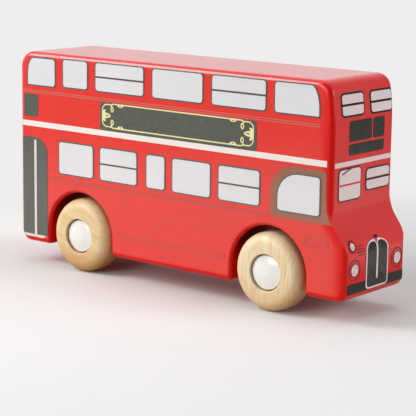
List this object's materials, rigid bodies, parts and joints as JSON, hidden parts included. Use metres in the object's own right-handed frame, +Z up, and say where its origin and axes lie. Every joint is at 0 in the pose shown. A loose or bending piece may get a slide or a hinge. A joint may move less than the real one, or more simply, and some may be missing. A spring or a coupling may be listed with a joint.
{
  "type": "wooden toy double-decker bus",
  "caption": "Red painted wooden toy double-decker bus: one shaped block with printed windows, on four free-turning turned wooden wheels held by domed pegs",
  "frame": {"origin": "On the floor below the middle of the bus, at the centre of its length and width", "axes": "+X is the front of the bus, -Y its driver's side, +Z up; the wheels stand on Z = 0"},
  "size_m": [0.1106, 0.0296, 0.0588],
  "materials": {
    "brown_print": "printed ink under clear lacquer",
    "cream_print": "printed ink under clear lacquer",
    "dark_print": "printed ink under clear lacquer",
    "gold_print": "printed ink under clear lacquer",
    "line_print": "printed ink under clear lacquer",
    "pane_print": "printed ink under clear lacquer",
    "red_painted_wood": "gloss paint",
    "silver_painted_wood": "gloss paint",
    "turned_wood": "clear satin lacquer"
  },
  "bodies": {
    "body": {"band_left": "cream_print", "band_right": "cream_print", "belt_lines_left": "line_print", "belt_lines_right": "line_print", "board_left": "dark_print", "board_right": "dark_print", "board_scroll_left": "gold_print", "board_scroll_right": "gold_print", "body_block": "red_painted_wood", "bonnet_hatch": "line_print", "bumper": "dark_print", "cab_frame_left": "brown_print", "cab_frame_right": "brown_print", "door_panel_left": "dark_print", "door_panel_right": "dark_print", "door_rails_left": "cream_print", "door_rails_right": "cream_print", "filler_cap": "dark_print", "front_band": "cream_print", "front_blinds": "dark_print", "front_panes": "pane_print", "front_plate": "dark_print", "front_rims": "dark_print", "lamp_lenses": "cream_print", "lamp_rims": "dark_print", "lamp_rings": "dark_print", "peg_front_left": "silver_painted_wood", "peg_front_right": "silver_painted_wood", "peg_rear_left": "silver_painted_wood", "peg_rear_right": "silver_painted_wood", "radiator_panels": "dark_print", "radiator_shell": "cream_print", "rear_band": "cream_print", "rear_panes": "pane_print", "rear_rims": "dark_print", "route_box_left": "dark_print", "route_box_right": "dark_print", "window_panes_left": "pane_print", "window_panes_right": "pane_print", "window_rims_left": "dark_print", "window_rims_right": "dark_print", "wiper": "dark_print"},
    "wheel_front_left": {"wheel_front_left": "turned_wood"},
    "wheel_front_right": {"wheel_front_right": "turned_wood"},
    "wheel_rear_left": {"wheel_rear_left": "turned_wood"},
    "wheel_rear_right": {"wheel_rear_right": "turned_wood"}
  },
  "joints": [
    {"name": "front_left_spin", "type": "hinge", "parent": "body", "child": "wheel_front_left", "pos_m": [0.0322, 0.01125, 0.01], "axis": [0, 1, 0], "continuous": true},
    {"name": "front_right_spin", "type": "hinge", "parent": "body", "child": "wheel_front_right", "pos_m": [0.0322, -0.01125, 0.01], "axis": [0, 1, 0], "continuous": true},
    {"name": "rear_left_spin", "type": "hinge", "parent": "body", "child": "wheel_rear_left", "pos_m": [-0.0314, 0.01125, 0.01], "axis": [0, 1, 0], "continuous": true},
    {"name": "rear_right_spin", "type": "hinge", "parent": "body", "child": "wheel_rear_right", "pos_m": [-0.0314, -0.01125, 0.01], "axis": [0, 1, 0], "continuous": true}
  ]
}
